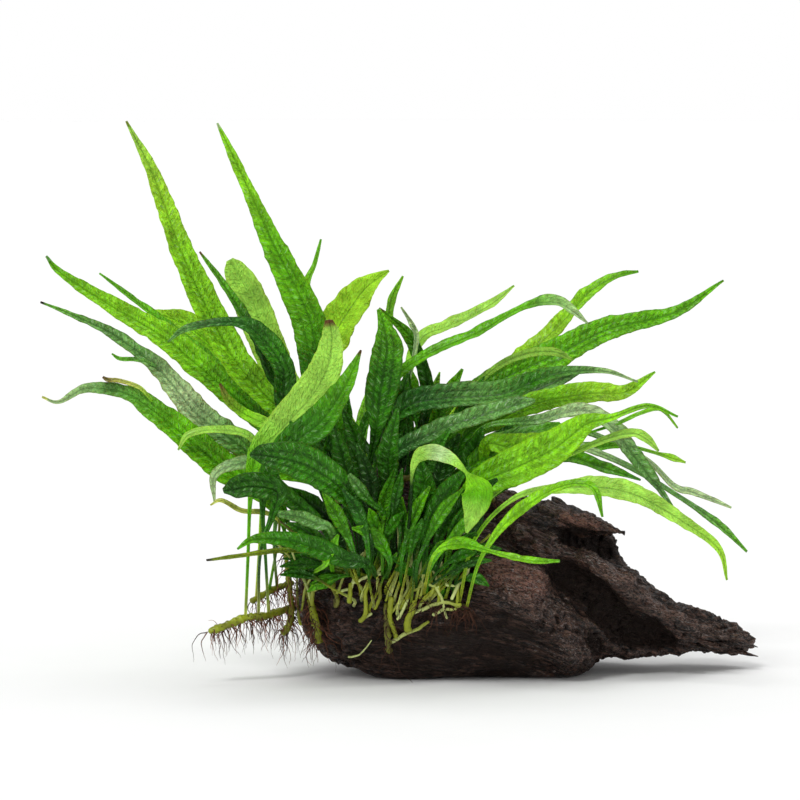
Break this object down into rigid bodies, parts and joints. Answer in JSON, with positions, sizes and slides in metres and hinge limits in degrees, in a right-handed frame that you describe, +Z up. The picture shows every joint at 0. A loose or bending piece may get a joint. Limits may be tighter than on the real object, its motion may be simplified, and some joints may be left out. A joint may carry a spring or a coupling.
{
  "type": "java fern on driftwood",
  "caption": "Narrow-leaved fern whose creeping stems grow over a dark lump of driftwood with a spur and a long tail, leaves fanning out to both sides, resting on the wood's flat belly.",
  "frame": {"origin": "on the surface that the wood rests on, under the middle of the whole part's box", "axes": "+X along the wood towards its tail, -Y to the viewer, +Z up"},
  "size_m": [0.2865, 0.1565, 0.221],
  "materials": {
    "driftwood": "dark wet waterlogged wood, rough grain with glossy facets",
    "rhizome": "olive green stem with brown specks, satin",
    "leaf_green": "fresh green blistered leaf, satin",
    "leaf_deep": "deep green blistered leaf, satin",
    "leaf_bluish": "grey-green bumpy leaf, wet sheen",
    "leaf_pale": "pale yellow-green young leaf, satin"
  },
  "bodies": {
    "root": {"driftwood": "driftwood", "leaf_broad_dark_front": "leaf_deep", "leaf_dark_arch": "leaf_deep", "leaf_front_bent": "leaf_pale", "leaf_front_dull": "leaf_green", "leaf_front_narrow": "leaf_green", "leaf_front_smooth": "leaf_pale", "leaf_inner_far_left": "leaf_deep", "leaf_inner_far_right": "leaf_deep", "leaf_inner_left": "leaf_deep", "leaf_inner_left_middle": "leaf_deep", "leaf_inner_middle": "leaf_deep", "leaf_inner_right": "leaf_deep", "leaf_inner_right_middle": "leaf_deep", "leaf_left_arching": "leaf_green", "leaf_left_broad_behind": "leaf_green", "leaf_left_broad_low": "leaf_deep", "leaf_left_folded": "leaf_bluish", "leaf_left_hooked": "leaf_green", "leaf_left_narrow_dark": "leaf_deep", "leaf_left_small_arch": "leaf_pale", "leaf_left_thin": "leaf_green", "leaf_left_wavy": "leaf_bluish", "leaf_low_bright": "leaf_green", "leaf_low_olive": "leaf_green", "leaf_middle_curled": "leaf_deep", "leaf_middle_slim": "leaf_green", "leaf_middle_upright": "leaf_deep", "leaf_pale_blunt": "leaf_pale", "leaf_right_blue_green": "leaf_bluish", "leaf_right_bright": "leaf_green", "leaf_right_bright_behind": "leaf_green", "leaf_right_dark_folded": "leaf_deep", "leaf_right_drooping_dark": "leaf_deep", "leaf_right_grey_green": "leaf_bluish", "leaf_right_large": "leaf_deep", "leaf_right_light_thin": "leaf_pale", "leaf_right_long_arch": "leaf_green", "leaf_right_long_droop": "leaf_green", "leaf_right_paddle": "leaf_green", "leaf_right_pale_arch": "leaf_pale", "leaf_right_ridged": "leaf_green", "leaf_right_stalked_arch": "leaf_green", "leaf_right_thin_lower": "leaf_bluish", "leaf_right_thin_upper": "leaf_bluish", "leaf_right_twisted": "leaf_bluish", "leaf_right_wavy": "leaf_green", "leaf_right_wide_bright": "leaf_green", "leaf_small_upright": "leaf_green", "leaf_tall_centre": "leaf_green", "leaf_tall_left": "leaf_green", "leaf_yellow_green": "leaf_pale", "rhizome_back": "rhizome", "rhizome_club": "rhizome", "rhizome_front": "rhizome", "rhizome_hanging": "rhizome", "rhizome_left_high": "rhizome", "rhizome_left_low": "rhizome", "rhizome_right": "rhizome", "rhizome_top": "rhizome"}
  },
  "joints": []
}
